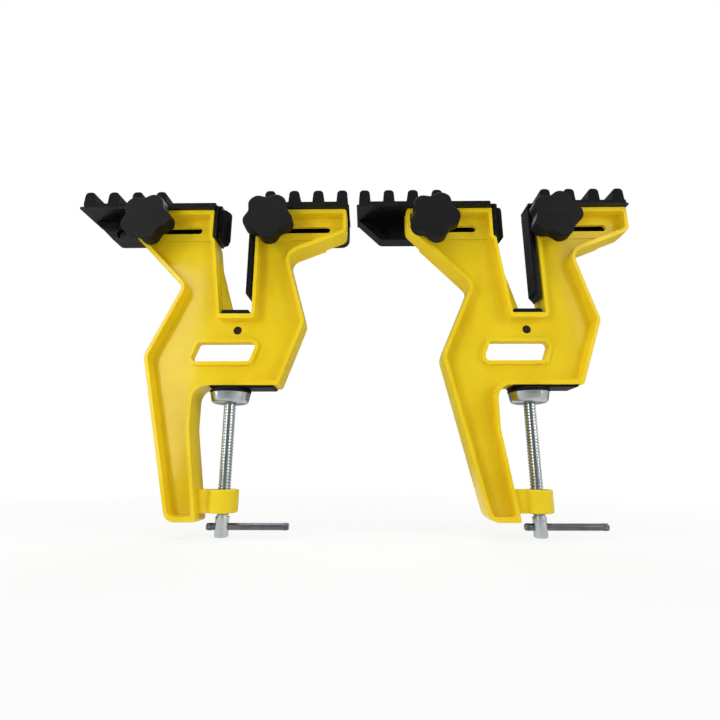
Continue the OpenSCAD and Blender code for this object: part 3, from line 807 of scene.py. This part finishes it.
def plug(side):
    node = side + "_web_plug"
    low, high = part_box(node)
    front, back, flange = low.y / MM, high.y / MM, (high.x - low.x) / 2 / MM
    profile = [(front + 0.35, 0.0), (front + 0.25, 1.4), (front + 0.02, 2.6), (front + 0.02, 3.2),
               (front + 0.35, 3.75), (back - 1.0, 3.8), (back - 1.0, flange), (back - 0.4, flange),
               (back, flange - 0.5), (back, 0.0)]
    stand_in(turned(profile, "Y", axis_point(node, "Y"), 40), side + "_plug", node, 35.0)


for side in SIDES:
    plug(side)
    for jaw in ("short", "long"):
        turns = clamp_bolt(side, jaw)
        softened(f"{side}_{jaw}_jaw_washer", f"{side}_{jaw}_washer", 0.15, 2, 50.0)
        softened(f"{side}_{jaw}_jaw_insert", f"{side}_{jaw}_insert", 0.3, 2, 50.0)
print("clamp bolts with", turns, "turns of thread")

# %% [markdown]
# The spindle is the working part below: a 10 mm screw with a 2.5 mm pitch, and a plain boss at
# its tail that the bar slides through. The boss keeps the exact solid's cross hole, so that end
# is a copy cut off at the lug, and the threaded length is spun on above it.

# %% Spindles
SCREW_PITCH = 2.5
SCREW_CREST = 4.97
SCREW_ROOT = 4.15
BOSS_TOP = -106.5
THREAD_IN_FOOT = 4.0


def spindle(side):
    node = side + "_spindle"
    low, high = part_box(node)
    centre = Vector((SIDES[side], 0.0, 0.0))
    bottom, top = low.z, high.z / MM

    def below(vert):
        return vert.co.z < bottom + 0.1 * MM

    def at_shoulder(vert):
        reach = math.hypot(vert.co.x - centre.x, vert.co.y) / MM
        return vert.co.z > (BOSS_TOP - 1.5) * MM and reach > 5.4

    bm = copy_of(node)
    bmesh.ops.bisect_plane(bm, geom=bm.verts[:] + bm.edges[:] + bm.faces[:], dist=0.001 * MM,
                           plane_co=(0, 0, BOSS_TOP * MM), plane_no=(0, 0, 1), clear_outer=True)
    bmesh.ops.holes_fill(bm, edges=[e for e in bm.edges if len(e.link_faces) == 1], sides=0)
    rounded(bm, bent_edges(bm, 50, lambda e: all(below(v) for v in e.verts)), 1.4, 4)
    rounded(bm, bent_edges(bm, 50, lambda e: all(at_shoulder(v) for v in e.verts)), 0.4, 2)
    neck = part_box(side + "_foot_cup")[0].z / MM + THREAD_IN_FOOT
    turns = threaded(bm, "Z", centre, BOSS_TOP - 3.0, neck, SCREW_CREST, SCREW_ROOT,
                     SCREW_PITCH, 36)
    tip = [(neck - 6.0, 0.0), (neck - 6.0, SCREW_ROOT), (top - 1.0, SCREW_ROOT), (top, 3.0),
           (top, 0.0)]
    join(bm, turned(tip, "Z", centre, 40))
    stand_in(bm, side + "_screw", node, 30.0)
    print(side, "screw with", turns, "turns of thread up to", round(neck, 2), "and a tip at",
          round(top, 2))


for side in SIDES:
    spindle(side)

# %% [markdown]
# The foot is a pressed cup: a rolled rim above, a side that tapers down to a flat floor, and a
# well inside for the snap ring. Its floor lies a little higher than the exact solid's. The
# rubber cap and the snap ring keep their exact shapes with soft edges. The bar is drawn steel;
# each end is crimped into a collar so that it can't fall through the boss, which leaves a waist
# and four dents.

# %% Feet
CUP_RAISED = 2.6
CUP_BORE = 5.05
WELL_RADIUS = 11.0
WELL_DEPTH = 5.0


def foot(side):
    node = side + "_foot_cup"
    low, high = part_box(node)
    centre = Vector((SIDES[side], 0.0, 0.0))
    under, rim, wide = low.z / MM + CUP_RAISED, high.z / MM, (high.x - low.x) / 2 / MM
    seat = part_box(side + "_foot_pad")[0].z / MM
    profile = [(under, CUP_BORE), (under, wide - 4.4), (under + 0.35, wide - 3.0),
               (under + 1.2, wide - 1.9), (under + 2.4, wide - 1.3), (rim - 1.0, wide - 0.15),
               (rim - 0.4, wide), (rim, wide - 0.3), (rim, wide - 1.4), (seat, wide - 1.4),
               (seat, WELL_RADIUS), (seat - WELL_DEPTH, WELL_RADIUS), (seat - WELL_DEPTH, CUP_BORE),
               (under, CUP_BORE)]
    stand_in(turned(profile, "Z", centre, 72), side + "_foot_shell", node, 50.0)
    softened(side + "_foot_pad", side + "_foot_rubber", 0.5, least=22.0, smooth=50.0)
    softened(side + "_foot_ring", side + "_snap_ring", 0.2, 2, 50.0)


# %% Bars
BAR_RADIUS = 2.8
DENT_DEPTH = 0.6


def bar(side):
    node = side + "_tommy_bar"
    low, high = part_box(node)
    centre = axis_point(node, "X")
    left, right, collar = low.x / MM, high.x / MM, (high.z - low.z) / 2 / MM - 0.3
    end = [(0.0, 0.0), (0.0, BAR_RADIUS - 0.5), (0.6, BAR_RADIUS + 0.1), (1.1, collar - 0.35),
           (1.9, collar), (3.9, collar), (4.6, collar - 0.3), (5.1, BAR_RADIUS)]
    profile = [(left + at, r) for at, r in end] + [(right - at, r) for at, r in reversed(end)]
    bm = turned(profile, "X", centre, 32)
    for vert in bm.verts:
        if 1.0 < min(vert.co.x / MM - left, right - vert.co.x / MM) < 4.0:
            away = Vector((0, vert.co.y - centre.y, vert.co.z - centre.z))
            angle = math.atan2(away.z, away.y)
            dent = max(0.0, math.cos(4 * angle)) ** 3 * DENT_DEPTH * MM
            vert.co -= away.normalized() * dent
    stand_in(bm, side + "_bar", node, 40.0)


for side in SIDES:
    foot(side)
    bar(side)
